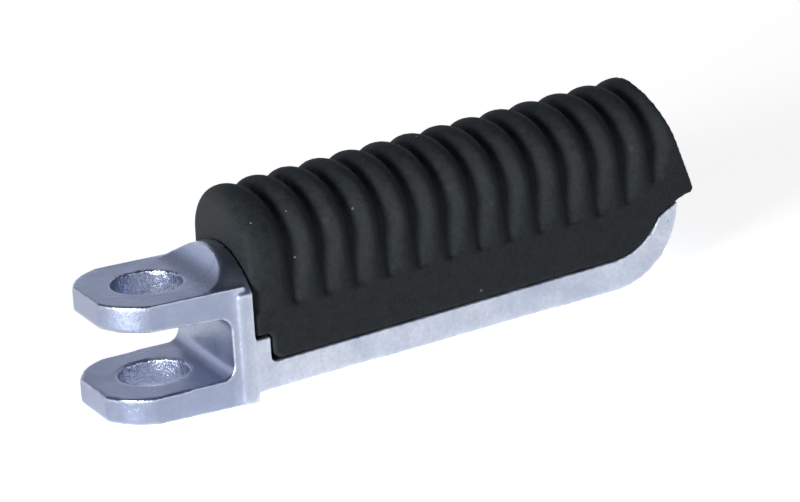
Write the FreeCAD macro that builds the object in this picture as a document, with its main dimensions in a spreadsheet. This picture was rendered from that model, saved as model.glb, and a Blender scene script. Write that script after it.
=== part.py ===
"""Motorcycle foot peg: a die-cast clevis and tray that carries a ribbed rubber pad.

Millimetres. The origin is on the pivot bore's axis, midway between the two ears. +Z runs up
the bore, +X runs out along the clevis, and the pad turns away from +X by the angle pad_yaw.
"""
import FreeCAD, Part
import math
import os
import Sketcher

doc = FreeCAD.newDocument("foot_peg")

# Driving dimensions.
SIZES = {
    # clevis
    "bore_dia": 12.0,
    "ear_width": 23.2,
    "ear_reach": 11.1,
    "tip_flat": 10.6,
    "tip_start": 4.6,
    "tip_radius": 12.5,
    "clevis_height": 20.4,
    "tip_wall": 4.3,
    "root_wall": 5.0,
    "gap_depth": 9.6,
    "gap_round": 2.0,
    # arched flange between clevis and pad
    "flange_reach": 11.0,
    "flange_thick": 2.6,
    "flange_width": 24.4,
    "arch_rise": 4.2,
    "arch_shoulder": 1.45,
    "sweep_length": 5.4,
    "sweep_round": 5.6,
    # tray
    "pad_yaw": 8.8,
    "tray_width": 24.2,
    "tray_thick": 4.8,
    "tray_swell": 0.7,
    "tray_lift": 1.6,
    "step_height": 4.4,
    "step_reach": 16.6,
    "curl_reach": 100.4,
    "curl_height": 13.0,
    "curl_round": 13.6,
    "tip_drop": 1.75,
    "tip_width": 4.0,
    "inner_round": 11.9,
    # underside of the tray
    "pocket_depth": 1.8,
    "pocket_rim": 3.2,
    # screw seats
    "inner_screw": 24.0,
    "screw_spacing": 38.0,
    "boss_dia": 17.0,
    "boss_rise": 4.6,
    "seat_dia": 13.2,
    "seat_floor": 3.4,
    "screw_hole": 6.6,
    # rubber pad
    "pad_width": 24.2,
    "end_gap": 0.3,
    "seat_gap": 0.05,
    "fit_gap": 0.3,
    "band_height": 8.6,
    "side_height": 8.2,
    "crown_height": 9.8,
    "pad_reach": 103.5,
    "end_lean": 14.0,
    "lip_rise": 1.8,
    "groove_depth": 2.5,
    "foot_depth": 0.6,
    "shoulder_depth": 1.8,
    "rib_pitch": 6.25,
    "rib_count": 13,
    "first_crest": 6.5,
    "crest_width": 2.6,
    "rib_foot": 5.7,
    # moulded-in plate and nuts
    "plate_thick": 3.0,
    "plate_width": 15.0,
    "plate_margin": 10.0,
    "nut_dia": 11.0,
    "nut_height": 5.0,
    "mould_gap": 0.05,
    # screws and washers
    "thread_dia": 6.0,
    "thread_gap": 0.05,
    "screw_length": 14.0,
    "head_dia": 10.5,
    "head_height": 3.1,
    "head_round": 1.6,
    "socket_across": 4.0,
    "socket_depth": 2.0,
    "washer_dia": 12.0,
    "washer_hole": 6.4,
    "washer_thick": 1.2,
    "spring_dia": 10.8,
    "spring_hole": 6.3,
    "spring_thick": 1.5,
    "spring_slot": 1.2,
    # how far a cut or a join runs past the face it meets
    "overrun": 2.0,
}

# Places worked out from the driving dimensions.
PLACES = {
    "bore_radius": "Sizes.bore_dia / 2",
    "ear_half": "Sizes.ear_width / 2",
    "tip_half": "Sizes.tip_flat / 2",
    "clevis_top": "Sizes.clevis_height / 2",
    "gap_tip": "Sizes.clevis_height / 2 - Sizes.tip_wall",
    "gap_root": "Sizes.clevis_height / 2 - Sizes.root_wall",
    "gap_mouth": "Sizes.ear_reach + Sizes.overrun",
    "flange_half": "Sizes.flange_width / 2",
    "flange_middle": "Sizes.flange_reach + Sizes.flange_thick / 2",
    "arch_top": "Sizes.clevis_height / 2 + Sizes.arch_rise",
    "arch_foot": "Sizes.clevis_height / 2 - Sizes.arch_shoulder",
    "sweep_base": "Sizes.clevis_height / 2 - Sizes.overrun",
    "sweep_start": "Sizes.flange_reach - Sizes.sweep_length",
    "above_arch": "Sizes.clevis_height / 2 + 2 * Sizes.arch_rise",
    "tray_half": "Sizes.tray_width / 2",
    "tray_bottom": "Sizes.tray_lift - Sizes.clevis_height / 2",
    "tray_low": "Sizes.tray_lift - Sizes.tray_swell - Sizes.clevis_height / 2",
    "tray_top": "Sizes.tray_lift - Sizes.clevis_height / 2 + Sizes.tray_thick",
    "step_top": "tray_top + Sizes.step_height",
    "curl_top": "tray_low + Sizes.curl_height",
    "tip_edge": "Sizes.curl_reach - Sizes.tip_width",
    "tip_low": "curl_top - Sizes.tip_drop",
    "curl_start": "Sizes.curl_reach - sqrt(2 * Sizes.curl_round * (curl_top - tray_low) - (curl_top - tray_low) ^ 2)",
    "seat_climb": "tip_low - tray_top",
    "seat_run": "sqrt(2 * Sizes.inner_round * seat_climb - seat_climb ^ 2)",
    "seat_start": "tip_edge - seat_run",
    "pocket_top": "tray_bottom + Sizes.pocket_depth",
    "pocket_half": "Sizes.tray_width / 2 - Sizes.pocket_rim",
    "pocket_start": "Sizes.flange_thick + Sizes.pocket_rim",
    "pocket_end": "seat_start - Sizes.flange_reach",
    "outer_screw": "Sizes.inner_screw + Sizes.screw_spacing",
    "boss_radius": "Sizes.boss_dia / 2",
    "boss_top": "tray_top + Sizes.boss_rise",
    "seat_radius": "Sizes.seat_dia / 2",
    "seat_top": "boss_top - Sizes.seat_floor",
    "screw_hole_radius": "Sizes.screw_hole / 2",
    "pad_half": "Sizes.pad_width / 2",
    "pad_skew": "pad_half * tan(Sizes.pad_yaw * 1 deg)",
    "pad_inner": "Sizes.flange_reach + Sizes.flange_thick + Sizes.end_gap",
    "pad_floor": "tray_top + Sizes.seat_gap",
    "band_top": "tray_top + Sizes.band_height",
    "shoulder": "band_top + Sizes.side_height",
    "crown": "shoulder + Sizes.crown_height",
    "core_crown": "crown - Sizes.groove_depth",
    "core_foot_half": "pad_half - Sizes.foot_depth",
    "core_half": "pad_half - Sizes.shoulder_depth",
    "pad_start": "(Sizes.flange_thick + Sizes.end_gap) / cos(Sizes.pad_yaw * 1 deg) - pad_skew",
    "core_length": "pad_length - pad_start",
    "rib_inner_foot": "Sizes.first_crest - Sizes.rib_foot / 2",
    "rib_inner_crest": "Sizes.first_crest - Sizes.crest_width / 2",
    "rib_outer_crest": "Sizes.first_crest + Sizes.crest_width / 2",
    "rib_outer_foot": "Sizes.first_crest + Sizes.rib_foot / 2",
    "notch_reach": "Sizes.step_reach + Sizes.fit_gap",
    "notch_top": "step_top + Sizes.fit_gap",
    "arch_radius": "(flange_half ^ 2 + (arch_top - arch_foot) ^ 2) / (2 * (arch_top - arch_foot))",
    "pocket_inner": "Sizes.inner_screw - boss_radius",
    "pocket_after": "Sizes.inner_screw + boss_radius",
    "pocket_before": "outer_screw - boss_radius",
    "pocket_outer": "outer_screw + boss_radius",
    "crown_radius": "(pad_half ^ 2 + Sizes.crown_height ^ 2) / (2 * Sizes.crown_height)",
    "core_radius": "(core_half ^ 2 + (core_crown - shoulder) ^ 2) / (2 * (core_crown - shoulder))",
    "pad_length": "(Sizes.pad_reach - Sizes.flange_reach) / cos(Sizes.pad_yaw * 1 deg) + pad_skew",
    "end_rib_start": "Sizes.first_crest + (Sizes.rib_count - 0.5) * Sizes.rib_pitch",
    "end_rib_length": "pad_length - end_rib_start",
    "tray_spread": "4 * Sizes.tray_width",
    "tray_end": "2 * Sizes.curl_reach",
    "seat_round": "Sizes.inner_round - Sizes.seat_gap",
    "lip_start": "seat_start + seat_round * seat_run / Sizes.inner_round",
    "lip_low": "tray_top + Sizes.inner_round - seat_round * (1 - seat_climb / Sizes.inner_round)",
    "lip_level": "curl_top + 2 * Sizes.seat_gap",
    "lip_high": "lip_level + Sizes.lip_rise",
    "above_crown": "crown + Sizes.overrun",
    "below_floor": "pad_floor - Sizes.overrun",
    "beyond": "2 * Sizes.pad_reach",
    "lean_top": "Sizes.pad_reach - (above_crown - lip_high) * tan(Sizes.end_lean * 1 deg)",
    "boss_room_radius": "boss_radius + Sizes.fit_gap",
    "plate_start": "Sizes.inner_screw - Sizes.plate_margin",
    "plate_end": "outer_screw + Sizes.plate_margin",
    "plate_half": "Sizes.plate_width / 2",
    "plate_top": "boss_top + Sizes.plate_thick",
    "plate_room_start": "plate_start - Sizes.mould_gap",
    "plate_room_end": "plate_end + Sizes.mould_gap",
    "plate_room_half": "plate_half + Sizes.mould_gap",
    "plate_room_top": "plate_top + Sizes.mould_gap",
    "plate_room_depth": "Sizes.plate_thick + 2 * Sizes.mould_gap",
    "nut_radius": "Sizes.nut_dia / 2",
    "tapped_radius": "Sizes.thread_dia / 2 + Sizes.thread_gap",
    "nut_room_radius": "nut_radius + Sizes.mould_gap",
    "nut_room_top": "plate_top + Sizes.nut_height + Sizes.mould_gap",
    "nut_room_depth": "Sizes.nut_height",
    "washer_radius": "Sizes.washer_dia / 2",
    "washer_hole_radius": "Sizes.washer_hole / 2",
    "washer_seat": "seat_top - Sizes.washer_thick",
    "spring_radius": "Sizes.spring_dia / 2",
    "spring_hole_radius": "Sizes.spring_hole / 2",
    "head_seat": "washer_seat - Sizes.spring_thick",
    "split_half": "Sizes.spring_slot / 2",
    "head_radius": "Sizes.head_dia / 2",
    "head_bottom": "head_seat - Sizes.head_height",
    "thread_radius": "Sizes.thread_dia / 2",
    "socket_half": "Sizes.socket_across / 2",
    "socket_corner": "Sizes.socket_across / sqrt(3)",
    "socket_half_flat": "socket_corner / 2",
    "socket_top": "head_bottom + Sizes.socket_depth",
}


def fill_sheet(name, cells):
    """Spreadsheet with one named cell in each row."""
    sheet = doc.addObject("Spreadsheet::Sheet", name)
    for row, (alias, content) in enumerate(cells.items(), start=1):
        sheet.set(f"A{row}", alias)
        sheet.setAlias(f"B{row}", alias)
        sheet.set(f"B{row}", content)
    doc.recompute()
    return sheet


sizes = fill_sheet("Sizes", {name: str(size) for name, size in SIZES.items()})
places = fill_sheet("Places", {name: "=" + formula for name, formula in PLACES.items()})


def number(term):
    """Value of a signed name, such as -ear_reach."""
    if term == "zero":
        return 0.0
    name = term.lstrip("-")
    sheet = sizes if name in SIZES else places
    value = float(sheet.get(name))
    return -value if term.startswith("-") else value


def binding(term):
    """Expression of a signed name, such as -Sizes.ear_reach."""
    name = term.lstrip("-")
    sheet = sizes if name in SIZES else places
    sign = "-" if term.startswith("-") else ""
    return f"{sign}{sheet.Name}.{name}"


def new_body(label, station=None):
    """Body at the origin, or on the pad's middle line at a named station and turned with the pad."""
    body = doc.addObject("PartDesign::Body", label)
    body.Label = label
    if station:
        along = binding(station)
        body.Placement = FreeCAD.Placement(FreeCAD.Vector(1, 0, 0), FreeCAD.Rotation(FreeCAD.Vector(0, 0, 1), 1))
        body.setExpression("Placement.Base.x", f"Sizes.flange_reach + {along} * cos(Sizes.pad_yaw * 1 deg)")
        body.setExpression("Placement.Base.y", f"{along} * sin(Sizes.pad_yaw * 1 deg)")
        body.setExpression("Placement.Rotation.Angle", "Sizes.pad_yaw * 1 deg")
    return body


def new_sketch(body, name, role, height=None, yawed=False):
    """Sketch on one of the body's planes, lifted by a named height and turned with the pad if asked."""
    sketch = body.newObject("Sketcher::SketchObject", name)
    plane = [feature for feature in body.Origin.OriginFeatures if feature.Role == role][0]
    sketch.AttachmentSupport = (plane, [""])
    sketch.MapMode = "FlatFace"
    if yawed:
        up = FreeCAD.Vector(0, 0, 1)
        sketch.AttachmentOffset = FreeCAD.Placement(FreeCAD.Vector(1, 0, 0), FreeCAD.Rotation(up, 1))
        sketch.setExpression("AttachmentOffset.Base.x", "Sizes.flange_reach")
        sketch.setExpression("AttachmentOffset.Rotation.Angle", "Sizes.pad_yaw * 1 deg")
    if height:
        sketch.setExpression("AttachmentOffset.Base.z", binding(height))
    return sketch


def new_section(body, name, station):
    """Upright sketch square across the pad, centred where its middle line passes the named station."""
    sketch = new_sketch(body, name, "YZ_Plane")
    along = binding(station)
    sketch.AttachmentOffset = FreeCAD.Placement(FreeCAD.Vector(1, 0, 0), FreeCAD.Rotation(FreeCAD.Vector(0, 1, 0), 1))
    sketch.setExpression("AttachmentOffset.Base.x", f"{along} * sin(Sizes.pad_yaw * 1 deg)")
    sketch.setExpression("AttachmentOffset.Base.z", f"Sizes.flange_reach + {along} * cos(Sizes.pad_yaw * 1 deg)")
    sketch.setExpression("AttachmentOffset.Rotation.Angle", "Sizes.pad_yaw * 1 deg")
    return sketch


def pin_point(sketch, curve, end, corner):
    """Hold one point of a sketch curve at named coordinates."""
    for kind, term in zip(("DistanceX", "DistanceY"), corner):
        index = sketch.addConstraint(Sketcher.Constraint(kind, curve, end, number(term)))
        if term != "zero":
            sketch.setExpression(f"Constraints[{index}]", binding(term))


def arc_between(start, finish, radius):
    """Arc that turns left from start to finish, bulging to the right of the chord."""
    chord = finish - start
    outward = FreeCAD.Vector(chord.y, -chord.x, 0).normalize()
    bulge = radius - math.sqrt(radius ** 2 - (chord.Length / 2) ** 2)
    return Part.Arc(start, (start + finish) / 2 + outward * bulge, finish)


def draw_outline(sketch, corners, arcs=None):
    """Closed outline through named corners.

    arcs maps a corner's index to the named radius of the arc after it. The arc turns left, or right if the
    name has a minus sign.
    """
    arcs = arcs or {}
    first = sketch.GeometryCount
    count = len(corners)
    points = [FreeCAD.Vector(number(x), number(y), 0) for x, y in corners]
    ends = [(1, 2)] * count
    for index, start in enumerate(points):
        finish = points[(index + 1) % count]
        radius = arcs.get(index)
        if not radius:
            sketch.addGeometry(Part.LineSegment(start, finish))
        elif radius.startswith("-"):
            sketch.addGeometry(arc_between(finish, start, -number(radius)))
            ends[index] = (2, 1)
        else:
            sketch.addGeometry(arc_between(start, finish, number(radius)))
    for index, corner in enumerate(corners):
        following = (index + 1) % count
        sketch.addConstraint(Sketcher.Constraint("Coincident", first + index, ends[index][1],
                                                 first + following, ends[following][0]))
        pin_point(sketch, first + index, ends[index][0], corner)
    for index, radius in arcs.items():
        name = radius.lstrip("-")
        mark = sketch.addConstraint(Sketcher.Constraint("Radius", first + index, number(name)))
        sketch.setExpression(f"Constraints[{mark}]", binding(name))


def draw_loaf(sketch, half, foot, shoulder, radius):
    """Upright sides with one arch across the top."""
    corners = [(f"-{half}", foot), (half, foot), (half, shoulder), (f"-{half}", shoulder)]
    draw_outline(sketch, corners, arcs={2: radius})


def draw_circle(sketch, x, y, radius):
    """Circle with a named centre and radius."""
    centre = FreeCAD.Vector(number(x), number(y), 0)
    index = sketch.addGeometry(Part.Circle(centre, FreeCAD.Vector(0, 0, 1), number(radius)))
    pin_point(sketch, index, 3, (x, y))
    mark = sketch.addConstraint(Sketcher.Constraint("Radius", index, number(radius)))
    sketch.setExpression(f"Constraints[{mark}]", binding(radius))


def pad(body, sketch, length, symmetric=False, backwards=False):
    """Pad of a named length."""
    feature = body.newObject("PartDesign::Pad", "pad_" + sketch.Name)
    feature.Profile = sketch
    feature.setExpression("Length", binding(length))
    if symmetric:
        feature.SideType = "Symmetric"
    feature.Reversed = backwards
    doc.recompute()
    return feature


def pocket(body, sketch, length=None, symmetric=False):
    """Pocket of a named length, or right through."""
    before = body.Shape.Volume
    feature = body.newObject("PartDesign::Pocket", "cut_" + sketch.Name)
    feature.Profile = sketch
    if length:
        feature.setExpression("Length", binding(length))
    else:
        feature.Type = "ThroughAll"
    if symmetric:
        feature.SideType = "Symmetric"
    doc.recompute()
    if feature.Shape.Volume >= before - 0.01:
        raise RuntimeError(f"{feature.Name} removes nothing")
    return feature


def fillet(body, base, points, radius):
    """Fillet of a named radius on the edges nearest to the given points."""
    names = []
    for point in points:
        spot = Part.Vertex(point)
        gaps = [edge.distToShape(spot)[0] for edge in base.Shape.Edges]
        names.append(f"Edge{gaps.index(min(gaps)) + 1}")
    feature = body.newObject("PartDesign::Fillet", "round_" + radius)
    feature.Base = (base, names)
    feature.setExpression("Radius", binding(radius))
    doc.recompute()
    return feature


def add_tray(body):
    """Tray under the pad, with a step at its inner end and its outer end curled up."""
    side = new_sketch(body, "tray_side", "XZ_Plane")
    draw_outline(side, [("flange_middle", "tray_bottom"), ("curl_start", "tray_low"), ("curl_reach", "curl_top"),
                        ("tip_edge", "tip_low"), ("seat_start", "tray_top"), ("step_reach", "tray_top"),
                        ("step_reach", "step_top"), ("flange_middle", "step_top")],
                 arcs={1: "curl_round", 3: "-inner_round"})
    pad(body, side, "tray_spread", symmetric=True)
    sides = new_sketch(body, "tray_sides", "XY_Plane", yawed=True)
    for near, far in (("tray_half", "tray_spread"), ("-tray_spread", "-tray_half")):
        draw_outline(sides, [("-tray_spread", near), ("tray_end", near), ("tray_end", far), ("-tray_spread", far)])
    pocket(body, sides, symmetric=True)
    bosses = new_sketch(body, "boss_plan", "XY_Plane", height="tray_top", yawed=True)
    draw_circle(bosses, "inner_screw", "zero", "boss_radius")
    draw_circle(bosses, "outer_screw", "zero", "boss_radius")
    pad(body, bosses, "boss_rise")


def add_clevis(body):
    """Arched flange, the two ears with the gap between them, and the bore through both."""
    arch = new_sketch(body, "flange_face", "YZ_Plane", height="flange_reach")
    draw_loaf(arch, "flange_half", "-clevis_top", "arch_foot", "arch_radius")
    pad(body, arch, "flange_thick")
    sweep = new_sketch(body, "sweep_side", "XZ_Plane")
    draw_outline(sweep, [("sweep_start", "sweep_base"), ("flange_middle", "sweep_base"),
                         ("flange_middle", "arch_top"), ("flange_reach", "arch_top"),
                         ("sweep_start", "clevis_top")], arcs={3: "-sweep_round"})
    pad(body, sweep, "ear_width", symmetric=True)
    crown = new_sketch(body, "above_arch", "YZ_Plane", height="flange_middle")
    draw_outline(crown, [("-flange_half", "arch_foot"), ("flange_half", "arch_foot"),
                         ("flange_half", "above_arch"), ("-flange_half", "above_arch")],
                 arcs={0: "-arch_radius"})
    pocket(body, crown)
    plan = new_sketch(body, "clevis_plan", "XY_Plane")
    draw_outline(plan, [("flange_middle", "-ear_half"), ("flange_middle", "ear_half"),
                        ("-tip_start", "ear_half"), ("-ear_reach", "tip_half"),
                        ("-ear_reach", "-tip_half"), ("-tip_start", "-ear_half")],
                 arcs={2: "tip_radius", 4: "tip_radius"})
    pad(body, plan, "clevis_height", symmetric=True)
    slot = new_sketch(body, "gap_side", "XZ_Plane")
    draw_outline(slot, [("-gap_mouth", "-gap_tip"), ("gap_depth", "-gap_root"),
                        ("gap_depth", "gap_root"), ("-gap_mouth", "gap_tip")])
    gap = pocket(body, slot, symmetric=True)
    corners = [FreeCAD.Vector(number("gap_depth"), 0, level) for level in (number("gap_root"), number("-gap_root"))]
    fillet(body, gap, corners, "gap_round")
    bore = new_sketch(body, "bore_plan", "XY_Plane")
    draw_circle(bore, "zero", "zero", "bore_radius")
    pocket(body, bore, symmetric=True)


def add_underside(body):
    """Screw seats, screw holes and the lightening pockets under the tray."""
    seats = new_sketch(body, "seat_plan", "XY_Plane", height="seat_top", yawed=True)
    draw_circle(seats, "inner_screw", "zero", "seat_radius")
    draw_circle(seats, "outer_screw", "zero", "seat_radius")
    pocket(body, seats)
    holes = new_sketch(body, "screw_hole_plan", "XY_Plane", height="boss_top", yawed=True)
    draw_circle(holes, "inner_screw", "zero", "screw_hole_radius")
    draw_circle(holes, "outer_screw", "zero", "screw_hole_radius")
    pocket(body, holes)
    hollows = new_sketch(body, "pocket_plan", "XY_Plane", height="pocket_top", yawed=True)
    for start, finish in (("pocket_start", "pocket_inner"), ("pocket_after", "pocket_before"),
                          ("pocket_outer", "pocket_end")):
        draw_outline(hollows, [(start, "-pocket_half"), (finish, "-pocket_half"),
                               (finish, "pocket_half"), (start, "pocket_half")])
    pocket(body, hollows)


def make_casting():
    """One aluminium casting: tray, flange and clevis."""
    body = new_body("peg_casting")
    add_tray(body)
    add_clevis(body)
    add_underside(body)
    return body


def draw_core(sketch):
    """Section at the bottom of the grooves, which are shallow at the foot and deepest over the crown."""
    corners = [("-core_foot_half", "pad_floor"), ("core_foot_half", "pad_floor"),
               ("core_half", "shoulder"), ("-core_half", "shoulder")]
    draw_outline(sketch, corners, arcs={2: "core_radius"})


def add_ribs(body):
    """Round-shouldered ribs across the pad, evenly spaced, and one wide flat rib at the outer end."""
    sections = []
    for place in ("rib_inner_foot", "rib_inner_crest", "rib_outer_crest", "rib_outer_foot"):
        section = new_section(body, place + "_section", place)
        if place.endswith("foot"):
            draw_core(section)
        else:
            draw_loaf(section, "pad_half", "pad_floor", "shoulder", "crown_radius")
        sections.append(section)
    rib = body.newObject("PartDesign::AdditiveLoft", "rib")
    rib.Profile = sections[0]
    rib.Sections = sections[1:]
    rib.Ruled = True
    doc.recompute()
    line = new_sketch(body, "rib_line", "XY_Plane", yawed=True)
    index = line.addGeometry(Part.LineSegment(FreeCAD.Vector(0, 0, 0), FreeCAD.Vector(1, 0, 0)))
    pin_point(line, index, 1, ("zero", "zero"))
    pin_point(line, index, 2, ("rib_pitch", "zero"))
    row = body.newObject("PartDesign::LinearPattern", "rib_row")
    row.Originals = [rib]
    row.Direction = (line, ["Edge1"])
    row.setExpression("Occurrences", "Sizes.rib_count")
    row.setExpression("Length", "(Sizes.rib_count - 1) * Sizes.rib_pitch")
    body.Tip = row
    doc.recompute()
    end_rib = new_section(body, "end_rib_section", "end_rib_start")
    draw_loaf(end_rib, "pad_half", "pad_floor", "shoulder", "crown_radius")
    pad(body, end_rib, "end_rib_length")


def trim_ends(body):
    """Leaning outer end over the curl, upright inner end and the notch over the step."""
    outer = new_sketch(body, "outer_end", "XZ_Plane")
    draw_outline(outer, [("seat_start", "pad_floor"), ("lip_start", "lip_low"), ("curl_reach", "lip_level"),
                         ("pad_reach", "lip_high"), ("lean_top", "above_crown"), ("beyond", "above_crown"),
                         ("beyond", "below_floor"), ("seat_start", "below_floor")], arcs={0: "seat_round"})
    pocket(body, outer, symmetric=True)
    inner = new_sketch(body, "inner_end", "XZ_Plane")
    draw_outline(inner, [("zero", "below_floor"), ("pad_inner", "below_floor"),
                         ("pad_inner", "above_crown"), ("zero", "above_crown")])
    pocket(body, inner, symmetric=True)
    notch = new_sketch(body, "step_notch", "XZ_Plane")
    draw_outline(notch, [("flange_reach", "below_floor"), ("notch_reach", "below_floor"),
                         ("notch_reach", "notch_top"), ("flange_reach", "notch_top")])
    pocket(body, notch, symmetric=True)


def hollow_pad(body):
    """Room for the casting's two bosses, the moulded-in plate and its nuts."""
    bosses = new_sketch(body, "boss_room", "XY_Plane", height="boss_top", yawed=True)
    draw_circle(bosses, "inner_screw", "zero", "boss_room_radius")
    draw_circle(bosses, "outer_screw", "zero", "boss_room_radius")
    pocket(body, bosses)
    plate = new_sketch(body, "plate_room", "XY_Plane", height="plate_room_top", yawed=True)
    draw_outline(plate, [("plate_room_start", "-plate_room_half"), ("plate_room_end", "-plate_room_half"),
                         ("plate_room_end", "plate_room_half"), ("plate_room_start", "plate_room_half")])
    pocket(body, plate, length="plate_room_depth")
    nuts = new_sketch(body, "nut_room", "XY_Plane", height="nut_room_top", yawed=True)
    draw_circle(nuts, "inner_screw", "zero", "nut_room_radius")
    draw_circle(nuts, "outer_screw", "zero", "nut_room_radius")
    pocket(body, nuts, length="nut_room_depth")


def make_pad():
    """Ribbed rubber pad, moulded round the steel plate. Only its two ends stay parallel to the clevis's flange."""
    body = new_body("rubber_pad")
    core = new_section(body, "core_section", "pad_start")
    draw_core(core)
    pad(body, core, "core_length")
    band = new_section(body, "band_section", "pad_start")
    draw_outline(band, [("-pad_half", "pad_floor"), ("pad_half", "pad_floor"),
                        ("pad_half", "band_top"), ("-pad_half", "band_top")])
    pad(body, band, "core_length")
    add_ribs(body)
    trim_ends(body)
    hollow_pad(body)
    return body


def make_plate():
    """Steel plate moulded into the pad; it rests on the casting's bosses."""
    body = new_body("insert_plate")
    plan = new_sketch(body, "plate_plan", "XY_Plane", height="boss_top", yawed=True)
    draw_outline(plan, [("plate_start", "-plate_half"), ("plate_end", "-plate_half"),
                        ("plate_end", "plate_half"), ("plate_start", "plate_half")])
    draw_circle(plan, "inner_screw", "zero", "screw_hole_radius")
    draw_circle(plan, "outer_screw", "zero", "screw_hole_radius")
    pad(body, plan, "plate_thick")
    return body


def make_ring(label, station, height, radius, hole_radius, thickness):
    """Body with one flat ring, such as a washer."""
    body = new_body(label, station)
    ring = new_sketch(body, label + "_ring", "XY_Plane", height=height)
    draw_circle(ring, "zero", "zero", radius)
    draw_circle(ring, "zero", "zero", hole_radius)
    pad(body, ring, thickness)
    return body


def make_spring_washer(label, station):
    """Split spring washer, pressed flat under the screw's head."""
    body = make_ring(label, station, "head_seat", "spring_radius", "spring_hole_radius", "spring_thick")
    split = new_sketch(body, label + "_split", "XY_Plane", height="washer_seat")
    draw_outline(split, [("-split_half", "zero"), ("split_half", "zero"),
                         ("split_half", "spring_dia"), ("-split_half", "spring_dia")])
    pocket(body, split)
    return body


def make_screw(label, station):
    """Socket button-head screw, head down in its seat."""
    body = new_body(label, station)
    head = new_sketch(body, label + "_head", "XY_Plane", height="head_seat")
    draw_circle(head, "zero", "zero", "head_radius")
    disc = pad(body, head, "head_height", backwards=True)
    fillet(body, disc, [FreeCAD.Vector(0, number("head_radius"), number("head_bottom"))], "head_round")
    shank = new_sketch(body, label + "_shank", "XY_Plane", height="head_seat")
    draw_circle(shank, "zero", "zero", "thread_radius")
    pad(body, shank, "screw_length")
    socket = new_sketch(body, label + "_socket", "XY_Plane", height="socket_top")
    draw_outline(socket, [("socket_corner", "zero"), ("socket_half_flat", "socket_half"),
                          ("-socket_half_flat", "socket_half"), ("-socket_corner", "zero"),
                          ("-socket_half_flat", "-socket_half"), ("socket_half_flat", "-socket_half")])
    pocket(body, socket)
    return body


def check_and_export(bodies):
    """Stop on any failed object, then write each body to its own file."""
    for thing in doc.Objects:
        if "Invalid" in thing.State or "Error" in thing.State:
            raise RuntimeError(f"{thing.Name} did not build: {thing.State}")
    for body in bodies:
        if body.Shape.isNull() or not body.Shape.isValid():
            raise RuntimeError(f"{body.Label} has no valid shape")
    os.makedirs("parts", exist_ok=True)
    for body in bodies:
        body.Shape.exportStep(f"parts/{body.Label}.step")
        print(body.Label, len(body.Shape.Solids), round(body.Shape.Volume, 1))


pieces = [make_casting(), make_pad(), make_plate()]
for side in ("inner", "outer"):
    screw = side + "_screw"
    pieces.append(make_ring(side + "_weld_nut", screw, "plate_top", "nut_radius", "tapped_radius", "nut_height"))
    pieces.append(make_screw(side + "_pad_screw", screw))
    pieces.append(make_spring_washer(side + "_spring_washer", screw))
    pieces.append(make_ring(side + "_flat_washer", screw, "washer_seat", "washer_radius", "washer_hole_radius",
                            "washer_thick"))
doc.recompute()
check_and_export(pieces)
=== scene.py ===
"""Looks of a motorcycle foot peg: die-cast aluminium clevis and tray, ribbed rubber pad and its fasteners."""
import math

import bmesh
import bpy
from mathutils import Matrix, Vector


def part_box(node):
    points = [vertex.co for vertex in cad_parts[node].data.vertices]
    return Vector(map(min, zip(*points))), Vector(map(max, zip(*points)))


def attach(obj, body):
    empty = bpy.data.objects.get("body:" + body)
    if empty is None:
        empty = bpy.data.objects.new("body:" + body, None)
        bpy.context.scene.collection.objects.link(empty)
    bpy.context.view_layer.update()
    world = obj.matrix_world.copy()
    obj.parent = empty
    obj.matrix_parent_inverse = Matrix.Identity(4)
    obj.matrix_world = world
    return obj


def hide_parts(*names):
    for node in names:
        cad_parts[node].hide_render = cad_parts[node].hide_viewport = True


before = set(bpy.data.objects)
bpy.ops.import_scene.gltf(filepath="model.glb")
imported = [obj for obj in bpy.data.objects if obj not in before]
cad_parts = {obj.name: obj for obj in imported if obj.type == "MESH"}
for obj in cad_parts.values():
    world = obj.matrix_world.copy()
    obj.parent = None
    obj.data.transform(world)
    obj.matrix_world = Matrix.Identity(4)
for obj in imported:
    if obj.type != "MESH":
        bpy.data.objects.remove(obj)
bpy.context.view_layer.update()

MM = 0.001
SKIN = 0.05 * MM

casting_low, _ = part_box("peg_casting")
pad_low, pad_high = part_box("rubber_pad")

# The pad turns away from the clevis. Its ribs are square to its own length, while its two ends, the step
# beside it and the tray's tip stay parallel to the clevis's flange.
PAD_YAW = math.radians(8.8)
ALONG = Vector((math.cos(PAD_YAW), math.sin(PAD_YAW), 0))
FLANGE_X = 11.0 * MM
FLOOR_LEVEL = casting_low.z
PAD_FLOOR = pad_low.z
# The ribs are drawn a little high, because softening takes some of their height away.
CROWN = pad_high.z + 0.4 * MM
SHOULDER = CROWN - 9.8 * MM
BAND_TOP = PAD_FLOOR + 8.55 * MM
HALF_WIDTH = 12.1 * MM
# How far the cutting tools reach past the piece they cut.
BEYOND = 20 * MM


# ---------------------------------------------------------------- working by hand on one mesh

def clear_selection():
    """Leave edit mode and let go of everything."""
    if bpy.context.object and bpy.context.object.mode != "OBJECT":
        bpy.ops.object.mode_set(mode="OBJECT")
    bpy.ops.object.select_all(action="DESELECT")


def open_mesh(piece):
    """Edit one piece with nothing on it selected."""
    clear_selection()
    piece.select_set(True)
    bpy.context.view_layer.objects.active = piece
    bpy.ops.object.mode_set(mode="EDIT")
    bpy.ops.mesh.select_mode(type="VERT")
    bpy.ops.mesh.select_all(action="DESELECT")


def close_mesh(piece, name=None):
    """Back to object mode, with the piece's place in its mesh."""
    bpy.ops.object.mode_set(mode="OBJECT")
    bpy.ops.object.transform_apply(location=True, rotation=True, scale=True)
    if name:
        piece.name = name
        piece.data.name = name
    return piece


def pick(piece, test):
    """Select the vertices that pass a test, and the edges and faces between them."""
    bpy.ops.mesh.select_all(action="DESELECT")
    mesh = bmesh.from_edit_mesh(piece.data)
    for vertex in mesh.verts:
        if test(vertex.co):
            vertex.select = True
    mesh.select_flush_mode()
    bmesh.update_edit_mesh(piece.data)


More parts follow.
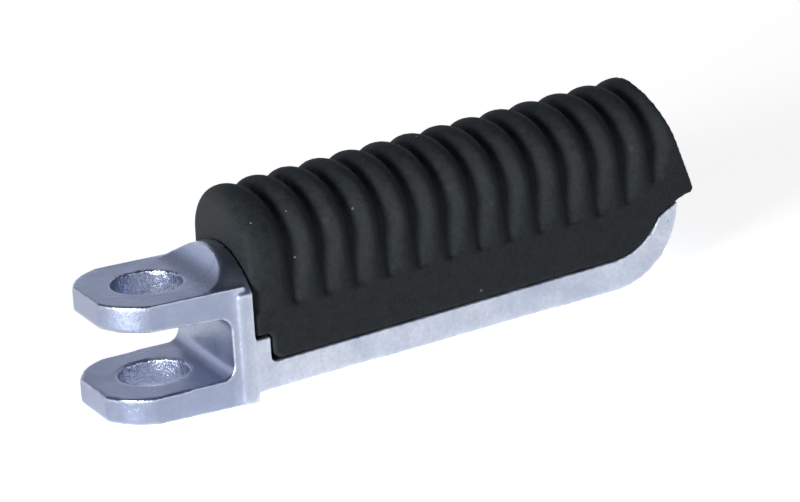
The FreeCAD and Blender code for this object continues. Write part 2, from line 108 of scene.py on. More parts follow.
def push(step):
    """Extrude what is selected by a step."""
    bpy.ops.mesh.extrude_region_move(TRANSFORM_OT_translate={"value": tuple(step)})


def stretch(factors, centre):
    """Scale what is selected about a centre."""
    bpy.ops.transform.resize(value=tuple(factors), center_override=tuple(centre))


def finish_with(piece, kind, **settings):
    """Add one modifier and apply it."""
    clear_selection()
    piece.select_set(True)
    bpy.context.view_layer.objects.active = piece
    modifier = piece.modifiers.new(kind.lower(), kind)
    for key, value in settings.items():
        setattr(modifier, key, value)
    bpy.ops.object.modifier_apply(modifier=modifier.name)
    return piece


def copy_of(piece, step=(0, 0, 0)):
    """Copy a piece with its own mesh and move it by a step."""
    clear_selection()
    piece.select_set(True)
    bpy.context.view_layer.objects.active = piece
    bpy.ops.object.duplicate(linked=False)
    twin = bpy.context.object
    bpy.ops.transform.translate(value=tuple(step))
    bpy.ops.object.transform_apply(location=True, rotation=True, scale=True)
    return twin


def join(pieces):
    """Make several pieces one mesh."""
    clear_selection()
    for piece in pieces:
        piece.select_set(True)
    bpy.context.view_layer.objects.active = pieces[0]
    bpy.ops.object.join()
    return pieces[0]


def drop(piece):
    """Remove a tool that has done its work."""
    bpy.data.objects.remove(piece, do_unlink=True)


def trace(name, corners, place, step):
    """Solid from an outline drawn corner by corner, filled, and pushed out by a step.

    place turns a corner's two numbers into a point in space.
    """
    bpy.ops.mesh.primitive_plane_add(size=MM, location=(0, 0, 0))
    piece = bpy.context.object
    bpy.ops.object.mode_set(mode="EDIT")
    bpy.ops.mesh.select_all(action="SELECT")
    bpy.ops.mesh.merge(type="CENTER")
    points = [Vector(place(*corner)) for corner in corners]
    bpy.ops.transform.translate(value=tuple(points[0]))
    for here, there in zip(points, points[1:]):
        bpy.ops.mesh.extrude_vertices_move(TRANSFORM_OT_translate={"value": tuple(there - here)})
    bpy.ops.mesh.select_all(action="SELECT")
    bpy.ops.mesh.edge_face_add()
    push(step)
    bpy.ops.mesh.select_all(action="SELECT")
    bpy.ops.mesh.normals_make_consistent(inside=False)
    return close_mesh(piece, name)


def arc_points(centre, radius, start, turn, count):
    """Corners along an arc, with its start and its turn in degrees."""
    angles = [math.radians(start + turn * index / count) for index in range(count + 1)]
    return [(centre[0] + radius * math.cos(angle), centre[1] + radius * math.sin(angle)) for angle in angles]


def round_corner(piece, x, z, rounding, segments):
    """Round one edge of a tool that was drawn in side view, at a corner of its outline."""
    pick(piece, lambda co: math.hypot(co.x - x, co.z - z) < SKIN)
    bpy.ops.mesh.bevel(offset=rounding, segments=segments, affect="EDGES")


def tool_disc(centre, radius, low, high, sides=64):
    """Upright cylinder used as a cutting tool."""
    bpy.ops.mesh.primitive_cylinder_add(vertices=sides, radius=radius, depth=high - low,
                                        location=(centre.x, centre.y, (low + high) / 2))
    return close_tool()


def close_tool():
    """Settle the place of the tool that was just made."""
    bpy.ops.object.transform_apply(location=True, rotation=True, scale=True)
    return bpy.context.object


# ---------------------------------------------------------------- rubber pad

RIB_PITCH = 6.25 * MM
FIRST_CREST = 6.5 * MM
RIB_COUNT = 13
RIB_ROUND = 3.3 * MM
GROOVE_AT_CROWN = 2.8 * MM
GROOVE_AT_SHOULDER = 2.5 * MM
GROOVE_AT_FOOT = 1.2 * MM
ARCH_STEPS = 40
PAD_INNER = FLANGE_X + 2.95 * MM
# Ends of the pad: the round-over at the inner end, the fall of the outer rib, the lip and the leaning face.
INNER_ROUND, INNER_ROUND_SIDE = 1.15, 0.8
PAD_END = 98 * MM
END_DROP = 0.02
LIP = (104.1 * MM, 4.8 * MM)
END_LEAN = math.radians(18.5)
NOTCH_REACH = 16.9 * MM
NOTCH_TOP = 0.95 * MM
BAND_CURL_START = 72 * MM
BAND_CURL_ROUND = 25.5 * MM
SCREW_STATIONS = (24 * MM, 62 * MM)
# Rooms inside the pad for the tray's bosses, the moulded-in plate and its nuts, above the pad's floor.
BOSS_ROOM_RADIUS, BOSS_ROOM_TOP = 8.8 * MM, 4.6 * MM
NUT_ROOM_RADIUS, NUT_ROOM_LOW, NUT_ROOM_TOP = 5.6 * MM, 6.0 * MM, 12.65 * MM
PLATE_ROOM_LOW, PLATE_ROOM_TOP = 4.5 * MM, 7.6 * MM
PLATE_ROOM_LENGTH, PLATE_ROOM_WIDTH = 58.1 * MM, 15.1 * MM
# How far each section stands from the crest, as a share of half a rib.
RIB_STATIONS = (0, 0.2, 0.4, 0.55, 0.68, 0.79, 0.87, 0.93, 0.97, 1.0)


def groove_share(distance):
    """How deep the groove is at a distance from the crest, at the crown and at the side.

    Both go from 0 on a crest to 1 in the valley: round over the crown, with a wider hollow at the side.
    """
    full = RIB_ROUND - math.sqrt(RIB_ROUND ** 2 - (RIB_PITCH / 2) ** 2)
    over_crown = (RIB_ROUND - math.sqrt(RIB_ROUND ** 2 - distance ** 2)) / full
    at_side = math.sin(math.pi / 2 * distance / (RIB_PITCH / 2)) ** 2
    return over_crown, at_side


def section_wire(station):
    """Loaf section across the pad, open at its foot.

    The pad is drawn along +X and turned into place later.
    """
    place = Vector((station, 0, SHOULDER))
    bpy.ops.mesh.primitive_circle_add(vertices=2 * ARCH_STEPS, radius=HALF_WIDTH, location=place,
                                      rotation=(0, math.pi / 2, 0))
    piece = close_tool()
    open_mesh(piece)
    pick(piece, lambda co: co.z < SHOULDER - SKIN)
    bpy.ops.mesh.delete(type="VERT")
    bpy.ops.mesh.select_all(action="SELECT")
    stretch((1, 1, (CROWN - SHOULDER) / HALF_WIDTH), place)
    levels = (SHOULDER, BAND_TOP + SKIN, BAND_TOP - SKIN, PAD_FLOOR)
    for level, below in zip(levels, levels[1:]):
        pick(piece, lambda co: abs(co.z - level) < SKIN / 4)
        bpy.ops.mesh.extrude_vertices_move(TRANSFORM_OT_translate={"value": (0, 0, below - level)})
    return piece


def on_section(co, station, turn):
    """Whether a point lies on the section at a station, turned by an angle about the upright axis."""
    return abs((co.x - station) * math.cos(turn) + co.y * math.sin(turn)) < SKIN / 4


def sink_section(piece, station, turn, before, now):
    """Take one section of the pad from one groove depth to another."""
    place = Vector((station, 0, SHOULDER))
    rise = CROWN - SHOULDER
    wide = (HALF_WIDTH - GROOVE_AT_SHOULDER * now[1]) / (HALF_WIDTH - GROOVE_AT_SHOULDER * before[1])
    tall = (rise - GROOVE_AT_CROWN * now[0]) / (rise - GROOVE_AT_CROWN * before[0])
    foot = (HALF_WIDTH - GROOVE_AT_FOOT * now[0]) / (HALF_WIDTH - GROOVE_AT_FOOT * before[0])
    pick(piece, lambda co: on_section(co, station, turn) and co.z > SHOULDER - SKIN)
    stretch((wide, wide, tall), place)
    pick(piece, lambda co: on_section(co, station, turn) and abs(co.z - BAND_TOP - SKIN) < SKIN / 4)
    stretch((foot, foot, 1), place)


def extend_skin(piece, run):
    """Carry the pad's skin on through (station, groove share, turn) from its last section."""
    for (here, share, turned), (there, deeper, turn) in zip(run, run[1:]):
        pick(piece, lambda co: on_section(co, here, turned))
        push((there - here, 0, 0))
        if turn != turned:
            swing(there, turned - turn)
        sink_section(piece, there, turn, share, deeper)


def swing(station, angle):
    """Turn the section that is selected about the upright line through its middle."""
    bpy.ops.transform.rotate(value=angle, orient_axis="Z", orient_type="GLOBAL",
                             center_override=(station, 0, SHOULDER))


def model_pad_skin():
    """Ribs, the wide rib at the outer end and the round-over at the inner end, as one closed skin."""
    half = RIB_PITCH / 2
    falling = [(half * share, groove_share(half * share)) for share in RIB_STATIONS]
    rising = [(RIB_PITCH - offset, depth) for offset, depth in reversed(falling[:-1])]
    groove = section_wire(FIRST_CREST)
    extend_skin(groove, [(FIRST_CREST + offset, depth, 0) for offset, depth in falling + rising])
    close_mesh(groove, "rubber_ribs")
    modules = [groove] + [copy_of(groove, (RIB_PITCH * index, 0, 0)) for index in range(1, RIB_COUNT - 1)]

    last_crest = FIRST_CREST + (RIB_COUNT - 1) * RIB_PITCH
    outer = section_wire(last_crest)
    run = [(last_crest + offset, depth, 0) for offset, depth in falling + rising]
    extend_skin(outer, run + [(PAD_END, (END_DROP, END_DROP), 0)])
    close_mesh(outer)

    inner = section_wire(FIRST_CREST)
    end_station = (PAD_INNER - FLANGE_X) / ALONG.x
    reach = FIRST_CREST - end_station
    run = [(FIRST_CREST, (0, 0), 0)]
    for degrees in (15, 30, 45, 60, 75, 90):
        angle = math.radians(degrees)
        fall = 1 - math.cos(angle)
        run.append((FIRST_CREST - reach * math.sin(angle), (INNER_ROUND * fall, INNER_ROUND_SIDE * fall),
                    -PAD_YAW * math.sin(angle)))
    extend_skin(inner, run)
    close_mesh(inner)

    skin = join(modules + [outer, inner])
    open_mesh(skin)
    bpy.ops.mesh.select_all(action="SELECT")
    bpy.ops.mesh.remove_doubles(threshold=SKIN / 5)
    curl_band_edge(skin)
    pick(skin, lambda co: co.z < PAD_FLOOR + SKIN)
    bpy.ops.mesh.bridge_edge_loops()
    pick(skin, lambda co: on_section(co, end_station, -PAD_YAW))
    bpy.ops.mesh.edge_face_add()
    pick(skin, lambda co: on_section(co, PAD_END, 0))
    bpy.ops.mesh.edge_face_add()
    bpy.ops.mesh.select_all(action="SELECT")
    bpy.ops.mesh.normals_make_consistent(inside=False)
    close_mesh(skin)
    skin.rotation_euler.z = PAD_YAW
    skin.location.x = FLANGE_X
    bpy.ops.object.transform_apply(location=True, rotation=True, scale=True)
    return skin


def curl_band_edge(skin):
    """Lift the band's top edge along the outer end, where it follows the tray's curl."""
    mesh = bmesh.from_edit_mesh(skin.data)
    columns = sorted({round(vertex.co.x, 6) for vertex in mesh.verts if vertex.co.x > BAND_CURL_START})
    for column in columns:
        beyond = min(column - BAND_CURL_START, 0.75 * BAND_CURL_ROUND)
        lift = BAND_CURL_ROUND - math.sqrt(BAND_CURL_ROUND ** 2 - beyond ** 2)
        pick(skin, lambda co: abs(co.x - column) < SKIN / 4 and abs(co.z - BAND_TOP) < 2 * SKIN)
        bpy.ops.transform.translate(value=(0, 0, lift))


def side_profile():
    """Tool with the pad's side outline: flat seat, curl, lip, leaning end, and the notch over the step."""
    seat_start, seat_round, lip_low = 86.2 * MM, 11.85 * MM, 5.75 * MM
    sweep = math.degrees(math.acos(1 - lip_low / seat_round))
    arc = arc_points((seat_start, PAD_FLOOR + seat_round), seat_round, -90, sweep, 16)
    above = CROWN + 3 * MM
    lean = (above - LIP[1]) * math.tan(END_LEAN)
    corners = [(NOTCH_REACH, PAD_FLOOR)] + arc
    corners += [(100.4 * MM, 3.8 * MM), LIP, (LIP[0] - lean, above), (PAD_INNER - MM, above),
                (PAD_INNER - MM, NOTCH_TOP), (NOTCH_REACH, NOTCH_TOP)]
    profile = trace("pad_profile", corners, lambda x, z: (x, -60 * MM, z), (0, 120 * MM, 0))
    open_mesh(profile)
    round_corner(profile, NOTCH_REACH, PAD_FLOOR, 2.0 * MM, 6)
    round_corner(profile, *LIP, 0.5 * MM, 6)
    return close_mesh(profile)


def make_rubber_pad():
    """Solid of the pad: its skin trimmed to the side profile, with soft moulded edges."""
    skin = model_pad_skin()
    profile = side_profile()
    finish_with(skin, "BOOLEAN", operation="INTERSECT", solver="EXACT", object=profile)
    drop(profile)
    middles = [on_middle_line(station) for station in SCREW_STATIONS]
    rooms = [tool_disc(middle, BOSS_ROOM_RADIUS, PAD_FLOOR - MM, PAD_FLOOR + BOSS_ROOM_TOP)
             for middle in middles]
    rooms += [tool_disc(middle, NUT_ROOM_RADIUS, PAD_FLOOR + NUT_ROOM_LOW, PAD_FLOOR + NUT_ROOM_TOP)
              for middle in middles]
    rooms.append(plate_room())
    for room in rooms:
        finish_with(skin, "BOOLEAN", operation="DIFFERENCE", solver="EXACT", object=room)
        drop(room)
    finish_with(skin, "REMESH", mode="VOXEL", voxel_size=0.42 * MM, use_smooth_shade=True)
    finish_with(skin, "SMOOTH", factor=0.5, iterations=2)
    skin.name = "ribbed_rubber_pad"
    skin.data.name = "ribbed_rubber_pad"
    return skin


def plate_room():
    """Tool for the space that the moulded-in plate fills."""
    low, high = PAD_FLOOR + PLATE_ROOM_LOW, PAD_FLOOR + PLATE_ROOM_TOP
    middle = on_middle_line(sum(SCREW_STATIONS) / 2)
    bpy.ops.mesh.primitive_cube_add(size=1, location=(middle.x, middle.y, (low + high) / 2),
                                    rotation=(0, 0, PAD_YAW),
                                    scale=(PLATE_ROOM_LENGTH, PLATE_ROOM_WIDTH, high - low))
    return close_tool()


def on_middle_line(station):
    """Point on the pad's middle line at a distance from the flange."""
    return Vector((FLANGE_X, 0, 0)) + ALONG * station


# ---------------------------------------------------------------- casting

EAR_HALF = 11.6 * MM
TIP_START, TIP_REACH, TIP_HALF, TIP_ROUND = -4.6 * MM, -11.1 * MM, 5.3 * MM, 12.5 * MM
CLEVIS_TOP = 10.2 * MM
FLANGE_BACK = FLANGE_X + 2.6 * MM
FLANGE_HALF = 12.2 * MM
ARCH_FOOT, ARCH_TOP = 8.75 * MM, 14.4 * MM
# The gap between the ears narrows from its mouth to its root.
GAP_ROOT, GAP_ROOT_HALF, GAP_MOUTH_HALF, GAP_CORNER = 9.6 * MM, 5.2 * MM, 6.2 * MM, 2 * MM
BORE_RADIUS = 6 * MM


def tip_arc():
    """Corners of one rounded shoulder of an ear, from its side round to the flat at its tip."""
    start, finish = Vector((TIP_START, EAR_HALF)), Vector((TIP_REACH, TIP_HALF))
    chord = finish - start
    inward = Vector((-chord.y, chord.x)).normalized()
    centre = (start + finish) / 2 + inward * math.sqrt(TIP_ROUND ** 2 - (chord.length / 2) ** 2)
    first = math.degrees(math.atan2(start.y - centre.y, start.x - centre.x))
    last = math.degrees(math.atan2(finish.y - centre.y, finish.x - centre.x))
    return arc_points(centre, TIP_ROUND, first, last - first, 14)


def make_ears():
    """Both ears of the clevis, with the gap and the bore cut through."""
    shoulder = tip_arc()
    other = [(x, -y) for x, y in reversed(shoulder)]
    corners = [(FLANGE_X, EAR_HALF)] + shoulder + other + [(FLANGE_X, -EAR_HALF)]
    ears = trace("ears", corners, lambda x, y: (x, y, -CLEVIS_TOP), (0, 0, 2 * CLEVIS_TOP))
    for cut in (gap_tool(), bore_tool()):
        finish_with(ears, "BOOLEAN", operation="DIFFERENCE", solver="EXACT", object=cut)
        drop(cut)
    return ears


def gap_tool():
    """Tool for the tapering gap between the ears, with round corners at its root."""
    corners = [(-BEYOND, -GAP_MOUTH_HALF), (GAP_ROOT, -GAP_ROOT_HALF), (GAP_ROOT, GAP_ROOT_HALF),
               (-BEYOND, GAP_MOUTH_HALF)]
    gap = trace("gap", corners, lambda x, z: (x, -BEYOND, z), (0, 2 * BEYOND, 0))
    open_mesh(gap)
    round_corner(gap, GAP_ROOT, -GAP_ROOT_HALF, GAP_CORNER, 8)
    round_corner(gap, GAP_ROOT, GAP_ROOT_HALF, GAP_CORNER, 8)
    return close_mesh(gap)


def bore_tool():
    """Tool for the pivot bore through both ears."""
    return tool_disc(Vector((0, 0, 0)), BORE_RADIUS, -BEYOND, BEYOND, sides=128)


def make_flange():
    """Arched flange between the clevis and the pad."""
    rise = ARCH_TOP - ARCH_FOOT
    radius = (FLANGE_HALF ** 2 + rise ** 2) / (2 * rise)
    half_turn = math.degrees(math.asin(FLANGE_HALF / radius))
    arch = arc_points((0, ARCH_TOP - radius), radius, 90 - half_turn, 2 * half_turn, 32)
    corners = [(-FLANGE_HALF, -CLEVIS_TOP), (FLANGE_HALF, -CLEVIS_TOP)] + arch
    return trace("flange", corners, lambda y, z: (FLANGE_X, y, z), (FLANGE_BACK - FLANGE_X, 0, 0))


def make_casting():
    """Die casting: the machined shape with true arcs laid over it, then all its edges softened."""
    casting = copy_of(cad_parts["peg_casting"])
    casting.parent = None
    open_mesh(casting)
    bpy.ops.mesh.select_all(action="SELECT")
    bpy.ops.mesh.remove_doubles(threshold=SKIN / 50)
    close_mesh(casting)
    bore = bore_tool()
    finish_with(casting, "BOOLEAN", operation="DIFFERENCE", solver="EXACT", object=bore)
    drop(bore)
    casting = join([casting, make_ears(), make_flange()])
    finish_with(casting, "REMESH", mode="VOXEL", voxel_size=0.34 * MM, use_smooth_shade=True)
    finish_with(casting, "SMOOTH", factor=0.5, iterations=3)
    casting.name = "cast_clevis_and_tray"
    casting.data.name = "cast_clevis_and_tray"
    return casting


# ---------------------------------------------------------------- finishes

def add(tree, kind, values=None, **settings):
    """Add a node. Values are set on its sockets, or linked where they come from another socket."""
    made = tree.nodes.new(kind)
    for key, value in settings.items():
        setattr(made, key, value)
    for key, value in (values or {}).items():
        if isinstance(value, bpy.types.NodeSocket):
            tree.links.new(value, made.inputs[key])
        else:
            made.inputs[key].default_value = value
    return made


def start_group(name, takes, gives):
    """Node group with named sockets; returns its tree, what goes in and what comes out."""
    tree = bpy.data.node_groups.new(name, "ShaderNodeTree")
    for label, kind in takes:
        tree.interface.new_socket(label, in_out="INPUT", socket_type=kind)
    for label, kind in gives:
        tree.interface.new_socket(label, in_out="OUTPUT", socket_type=kind)
    return tree, tree.nodes.new("NodeGroupInput").outputs, tree.nodes.new("NodeGroupOutput").inputs


NUMBER, VECTOR = "NodeSocketFloat", "NodeSocketVector"


def remap(tree, value, low, high, to_low=0.0, to_high=1.0):
    """Stretch a value from one range to another."""
    made = add(tree, "ShaderNodeMapRange", {"Value": value, "From Min": low, "From Max": high,
                                            "To Min": to_low, "To Max": to_high})
    return made.outputs["Result"]


def combine(tree, how, first, second):
    """One sum on two values."""
    made = add(tree, "ShaderNodeMath", {0: first, 1: second}, operation=how)
    return made.outputs["Value"]


def tint(tree, share, first, second):
    """Mix two colours by a share."""
    made = add(tree, "ShaderNodeMix", {"Factor": share, 6: first, 7: second}, data_type="RGBA")
    return made.outputs[2]


def make_grain():
    """Fine grain of a moulded or cast skin, and the slow change of tone across it."""
    tree, takes, gives = start_group("skin_grain",
                                     [("Place", VECTOR), ("Grain", NUMBER), ("Patches", NUMBER)],
                                     [("Height", NUMBER), ("Tone", NUMBER)])
    fine = add(tree, "ShaderNodeTexNoise", {"Vector": takes["Place"], "Scale": takes["Grain"], "Detail": 5.0,
                                            "Roughness": 0.65})
    slow = add(tree, "ShaderNodeTexNoise", {"Vector": takes["Place"], "Scale": takes["Patches"], "Detail": 4.0,
                                            "Roughness": 0.6})
    tree.links.new(fine.outputs["Fac"], gives["Height"])
    tree.links.new(remap(tree, slow.outputs["Fac"], 0.35, 0.65), gives["Tone"])
    return tree


def make_wear_and_highlight():
    """Rubbed edges, broken up by noise; on the casting the same mask also paints a highlight along the edges.
    """
    tree, takes, gives = start_group("edge_wear_and_painted_highlight", [("Place", VECTOR), ("Start", NUMBER), ("Full", NUMBER)],
                                     [("Mask", NUMBER)])
    bend = add(tree, "ShaderNodeNewGeometry").outputs["Pointiness"]
    edge = remap(tree, bend, takes["Start"], takes["Full"])
    patchy = add(tree, "ShaderNodeTexNoise", {"Vector": takes["Place"], "Scale": 600.0, "Detail": 3.0})
    kept = remap(tree, patchy.outputs["Fac"], 0.35, 0.6, 0.25, 1.0)
    tree.links.new(combine(tree, "MULTIPLY", edge, kept), gives["Mask"])
    return tree


def make_specks():
    """Scattered round specks: dust on rubber, pits in a casting."""
    tree, takes, gives = start_group("scattered_specks",
                                     [("Place", VECTOR), ("Spacing", NUMBER), ("Size", NUMBER),
                                      ("Share", NUMBER)],
                                     [("Mask", NUMBER)])
    cells = add(tree, "ShaderNodeTexVoronoi", {"Vector": takes["Place"], "Scale": takes["Spacing"]})
    parts = add(tree, "ShaderNodeSeparateColor", {"Color": cells.outputs["Color"]})
    chosen = combine(tree, "LESS_THAN", parts.outputs["Red"], takes["Share"])
    reach = combine(tree, "MULTIPLY", takes["Size"], remap(tree, parts.outputs["Green"], 0.0, 1.0, 0.4, 1.0))
    inside = combine(tree, "LESS_THAN", cells.outputs["Distance"], reach)
    tree.links.new(combine(tree, "MULTIPLY", chosen, inside), gives["Mask"])
    return tree


def make_scratches():
    """Fine handling scratches, long in one direction."""
    tree, takes, gives = start_group("handling_scratches", [("Place", VECTOR), ("Turn", VECTOR)],
                                     [("Mask", NUMBER)])
    turned = add(tree, "ShaderNodeVectorRotate", {"Vector": takes["Place"], "Rotation": takes["Turn"]},
                 rotation_type="EULER_XYZ")
    drawn = add(tree, "ShaderNodeVectorMath", {0: turned.outputs["Vector"], 1: (90.0, 3200.0, 3200.0)},
                operation="MULTIPLY")
    lines = add(tree, "ShaderNodeTexNoise", {"Vector": drawn.outputs["Vector"], "Scale": 1.0, "Detail": 2.0})
    tree.links.new(remap(tree, lines.outputs["Fac"], 0.68, 0.74), gives["Mask"])
    return tree


GRAIN, WEAR_AND_HIGHLIGHT, SPECKS, SCRATCHES = make_grain(), make_wear_and_highlight(), make_specks(), make_scratches()


def start_material(name):
    """New material; returns it with its tree, its shader and the place on the piece."""
    material = bpy.data.materials.new(name)
    material.use_nodes = True
    tree = material.node_tree
    place = add(tree, "ShaderNodeTexCoord").outputs["Object"]
    return material, tree, tree.nodes["Principled BSDF"], place


def use(tree, group, values):
    """Place a node group in a material."""
    made = tree.nodes.new("ShaderNodeGroup")
    made.node_tree = group
    for key, value in values.items():
        if isinstance(value, bpy.types.NodeSocket):
            tree.links.new(value, made.inputs[key])
        else:
            made.inputs[key].default_value = value
    return made.outputs


def raise_skin(tree, shader, height, distance, strength=1.0):
    """Bump from a height, into the shader's normal."""
    bump = add(tree, "ShaderNodeBump", {"Height": height, "Distance": distance, "Strength": strength})
    tree.links.new(bump.outputs["Normal"], shader.inputs["Normal"])


def black_rubber():
    """Moulded black rubber: fine grain, grey bloom in patches, rubbed edges and a little dust."""
    material, tree, shader, place = start_material("moulded_black_rubber")
    grain = use(tree, GRAIN, {"Place": place, "Grain": 1500.0, "Patches": 650.0})
    wear_and_highlight = use(tree, WEAR_AND_HIGHLIGHT, {"Place": place, "Start": 0.51, "Full": 0.58})["Mask"]
    dust = use(tree, SPECKS, {"Place": place, "Spacing": 260.0, "Size": 0.07, "Share": 0.30})["Mask"]
    colour = tint(tree, grain["Tone"], (0.0110, 0.0145, 0.0170, 1), (0.0230, 0.0280, 0.0305, 1))
    fine = remap(tree, grain["Height"], 0.38, 0.62)
    colour = tint(tree, combine(tree, "MULTIPLY", fine, 0.35), colour, (0.034, 0.041, 0.044, 1))
    colour = tint(tree, combine(tree, "MULTIPLY", wear_and_highlight, 0.55), colour, (0.048, 0.054, 0.058, 1))
    colour = tint(tree, combine(tree, "MULTIPLY", dust, 0.9), colour, (0.22, 0.23, 0.23, 1))
    tree.links.new(colour, shader.inputs["Base Color"])
    tree.links.new(remap(tree, grain["Tone"], 0.0, 1.0, 0.62, 0.74), shader.inputs["Roughness"])
    shader.inputs["Specular IOR Level"].default_value = 0.16
    raise_skin(tree, shader, grain["Height"], 0.16 * MM)
    return material


def cast_aluminium():
    """Tumbled die-cast aluminium: cast grain, small pits, smudges, bright edges that are partly wear and
    partly painted highlight, a clevis darkened as painted shade, rough bore.
    """
    material, tree, shader, place = start_material("tumbled_cast_aluminium")
    grain = use(tree, GRAIN, {"Place": place, "Grain": 1400.0, "Patches": 170.0})
    wear_and_highlight = use(tree, WEAR_AND_HIGHLIGHT, {"Place": place, "Start": 0.51, "Full": 0.57})["Mask"]
    pits = use(tree, SPECKS, {"Place": place, "Spacing": 520.0, "Size": 0.16, "Share": 0.08})["Mask"]
    lines = use(tree, SCRATCHES, {"Place": place, "Turn": (0.3, 0.2, 0.5)})["Mask"]
    smudge = add(tree, "ShaderNodeTexNoise", {"Vector": place, "Scale": 75.0, "Detail": 5.0,
                                              "Distortion": 0.6})
    smudge = remap(tree, smudge.outputs["Fac"], 0.56, 0.70)
    colour = tint(tree, grain["Tone"], (0.47, 0.52, 0.62, 1), (0.63, 0.67, 0.76, 1))
    fine = remap(tree, grain["Height"], 0.38, 0.62)
    colour = tint(tree, combine(tree, "MULTIPLY", fine, 0.45), colour, (0.38, 0.42, 0.53, 1))
    colour = tint(tree, combine(tree, "MULTIPLY", smudge, 0.45), colour, (0.36, 0.40, 0.52, 1))
    # Painted shade: the clevis end is tinted darker and bluer than the tray by its place along X. This is not
    # a tone of the metal.
    along = add(tree, "ShaderNodeSeparateXYZ", {"Vector": place}).outputs["X"]
    painted_clevis_shade = remap(tree, along, FLANGE_X + 3 * MM, FLANGE_X - 2 * MM, 0.0, 0.75)
    colour = tint(tree, painted_clevis_shade, colour, (0.23, 0.27, 0.40, 1))
    # Bright edges on the casting: partly rubbed wear, partly a painted highlight along the edges.
    colour = tint(tree, combine(tree, "MULTIPLY", wear_and_highlight, 0.75), colour, (0.88, 0.90, 0.95, 1))
    colour = tint(tree, combine(tree, "MULTIPLY", pits, 0.55), colour, (0.16, 0.18, 0.25, 1))
    tree.links.new(colour, shader.inputs["Base Color"])
    rough = remap(tree, grain["Tone"], 0.0, 1.0, 0.26, 0.38)
    rough = combine(tree, "ADD", rough, combine(tree, "MULTIPLY", smudge, 0.08))
    tree.links.new(rough, shader.inputs["Roughness"])
    shader.inputs["Metallic"].default_value = 1.0

    flat = add(tree, "ShaderNodeVectorMath", {0: place, 1: (1.0, 1.0, 0.0)}, operation="MULTIPLY")
    reach = add(tree, "ShaderNodeVectorMath", {0: flat.outputs["Vector"]}, operation="LENGTH")
    from_axis = reach.outputs["Value"]
    in_bore = remap(tree, from_axis, BORE_RADIUS + 0.3 * MM, BORE_RADIUS)
    crinkle = add(tree, "ShaderNodeTexNoise", {"Vector": place, "Scale": 700.0, "Detail": 3.0,
                                               "Distortion": 1.5})
    crinkle = combine(tree, "MULTIPLY", crinkle.outputs["Fac"], combine(tree, "MULTIPLY", in_bore, 6.0))
    height = combine(tree, "ADD", grain["Height"], crinkle)
    height = combine(tree, "SUBTRACT", height, combine(tree, "MULTIPLY", pits, 0.8))
    height = combine(tree, "SUBTRACT", height, combine(tree, "MULTIPLY", lines, 0.25))
    raise_skin(tree, shader, height, 0.05 * MM)
    return material


def zinc_plating():
    """Zinc-plated steel of the screws, washers, nuts and plate."""
    material, tree, shader, place = start_material("zinc_plated_steel")
    grain = use(tree, GRAIN, {"Place": place, "Grain": 2600.0, "Patches": 420.0})
    wear_and_highlight = use(tree, WEAR_AND_HIGHLIGHT, {"Place": place, "Start": 0.52, "Full": 0.58})["Mask"]
    lines = use(tree, SCRATCHES, {"Place": place, "Turn": (0.0, 0.0, 0.9)})["Mask"]
    stains = use(tree, SPECKS, {"Place": place, "Spacing": 900.0, "Size": 0.2, "Share": 0.06})["Mask"]
    colour = tint(tree, grain["Tone"], (0.50, 0.51, 0.50, 1), (0.66, 0.67, 0.68, 1))
    colour = tint(tree, combine(tree, "MULTIPLY", wear_and_highlight, 0.5), colour, (0.82, 0.83, 0.84, 1))
    colour = tint(tree, combine(tree, "MULTIPLY", stains, 0.5), colour, (0.22, 0.21, 0.19, 1))
    tree.links.new(colour, shader.inputs["Base Color"])
    rough = remap(tree, grain["Tone"], 0.0, 1.0, 0.24, 0.38)
    rough = combine(tree, "ADD", rough, combine(tree, "MULTIPLY", lines, 0.15))
    tree.links.new(rough, shader.inputs["Roughness"])
    shader.inputs["Metallic"].default_value = 1.0
    height = combine(tree, "SUBTRACT", grain["Height"], combine(tree, "MULTIPLY", lines, 0.6))
    raise_skin(tree, shader, height, 0.02 * MM)
    return material


def dress(piece, material, node):
    """Give a new piece its finish, put it under the root body and hide the part it stands for."""
    piece.data.materials.clear()
    piece.data.materials.append(material)
    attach(piece, "root")
    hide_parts(node)


dress(make_rubber_pad(), black_rubber(), "rubber_pad")
dress(make_casting(), cast_aluminium(), "peg_casting")
plated = zinc_plating()
for name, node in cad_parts.items():
    if name not in ("peg_casting", "rubber_pad"):
        for slot in node.material_slots:
            slot.link = "OBJECT"
            slot.material = plated


# ---------------------------------------------------------------- floor, light and camera

FLOOR_GLOW, FLOOR_BOUNCE = 0.85, 0.05
SKY_GLOW, SKY_BOUNCE = 1.0, 0.10
SKY_STOPS = ((0.0, (0.85, 0.87, 0.93)), (1.0, (0.06, 0.065, 0.08)), (0.3, (0.95, 0.99, 1.15)),
             (0.55, (0.10, 0.105, 0.12)))
AIM = Vector((0.050, 0, 0))


def dim_when_bounced(tree, glow, bounce):
    """Strength of a glowing surround, lower for the light that it throws on dull surfaces."""
    thrown = add(tree, "ShaderNodeLightPath").outputs["Is Diffuse Ray"]
    return remap(tree, thrown, 0.0, 1.0, glow, bounce)


def make_stage():
    """Plain pale floor."""
    bpy.ops.mesh.primitive_plane_add(size=4, location=(0, 0, FLOOR_LEVEL - SKIN))
    floor = close_tool()
    floor.name = "pale_floor"
    paint, tree, shader, _ = start_material("pale_floor_paint")
    shader.inputs["Base Color"].default_value = (0.9, 0.9, 0.9, 1)
    shader.inputs["Roughness"].default_value = 0.9
    shader.inputs["Emission Color"].default_value = (1, 1, 1, 1)
    tree.links.new(dim_when_bounced(tree, FLOOR_GLOW, FLOOR_BOUNCE), shader.inputs["Emission Strength"])
    shader.inputs["Specular IOR Level"].default_value = 0.0
    floor.data.materials.append(paint)


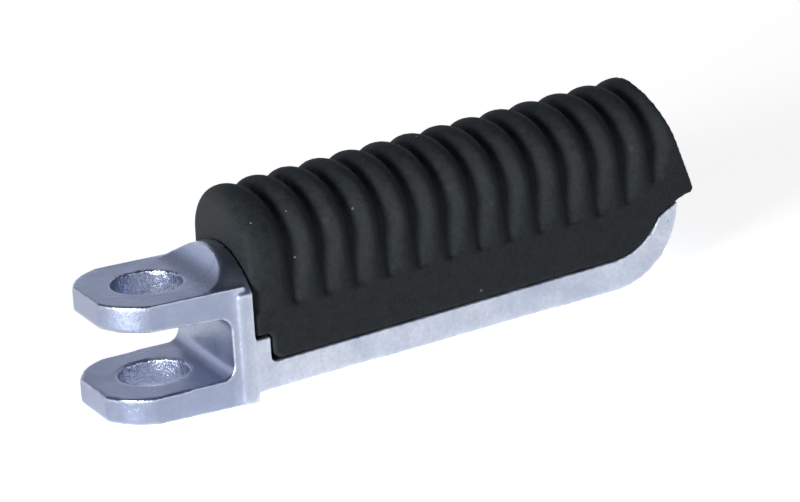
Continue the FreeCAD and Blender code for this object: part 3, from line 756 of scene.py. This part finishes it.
def add_softbox(name, place, size, power):
    """Square soft light aimed at the peg."""
    bpy.ops.object.light_add(type="AREA", location=place)
    light = bpy.context.object
    light.name = name
    light.data.shape = "SQUARE"
    light.data.size = size
    light.data.energy = power
    light.rotation_euler = (AIM - Vector(place)).to_track_quat("-Z", "Y").to_euler()


def make_sky():
    """Studio surround, bright low down and dark overhead."""
    world = bpy.data.worlds.new("studio")
    bpy.context.scene.world = world
    world.use_nodes = True
    tree = world.node_tree
    spot = add(tree, "ShaderNodeTexCoord").outputs["Generated"]
    height = add(tree, "ShaderNodeSeparateXYZ", {"Vector": spot}).outputs["Z"]
    ramp = add(tree, "ShaderNodeValToRGB", {"Fac": height})
    elements = ramp.color_ramp.elements
    for index, (position, colour) in enumerate(SKY_STOPS):
        stop = elements[index] if index < 2 else elements.new(position)
        stop.position = position
        stop.color = (*colour, 1)
    sky = tree.nodes["Background"]
    tree.links.new(ramp.outputs["Color"], sky.inputs["Color"])
    tree.links.new(dim_when_bounced(tree, SKY_GLOW, SKY_BOUNCE), sky.inputs["Strength"])


def make_camera():
    """Long lens, looking down on the clevis end from the near side, slightly rolled."""
    azimuth, elevation, roll = math.radians(25.09), math.radians(18.80), math.radians(-3.66)
    distance, step_left, step_up = 0.8544, 0.003785, 0.005235
    forward = Vector((math.sin(azimuth) * math.cos(elevation), math.cos(azimuth) * math.cos(elevation),
                      -math.sin(elevation)))
    level = Vector((math.cos(azimuth), -math.sin(azimuth), 0))
    above = level.cross(forward)
    right = level * math.cos(roll) + above * math.sin(roll)
    up = above * math.cos(roll) - level * math.sin(roll)
    target = Vector((0.050, 0, -0.0002))
    place = target - forward * distance - right * step_left + up * step_up
    bpy.ops.object.camera_add()
    camera = bpy.context.object
    turn = Matrix((right, up, -forward)).transposed()
    camera.matrix_world = Matrix.Translation(place) @ turn.to_4x4()
    camera.data.lens = 227.97
    camera.data.sensor_width = 36
    bpy.context.scene.camera = camera


make_stage()
add_softbox("left_softbox", (-0.80, -0.50, 0.16), 0.3, 11.0)
add_softbox("right_softbox", (0.2, -0.95, 0.12), 0.5, 0.8)
make_sky()
bpy.context.scene.view_settings.view_transform = "Standard"
make_camera()
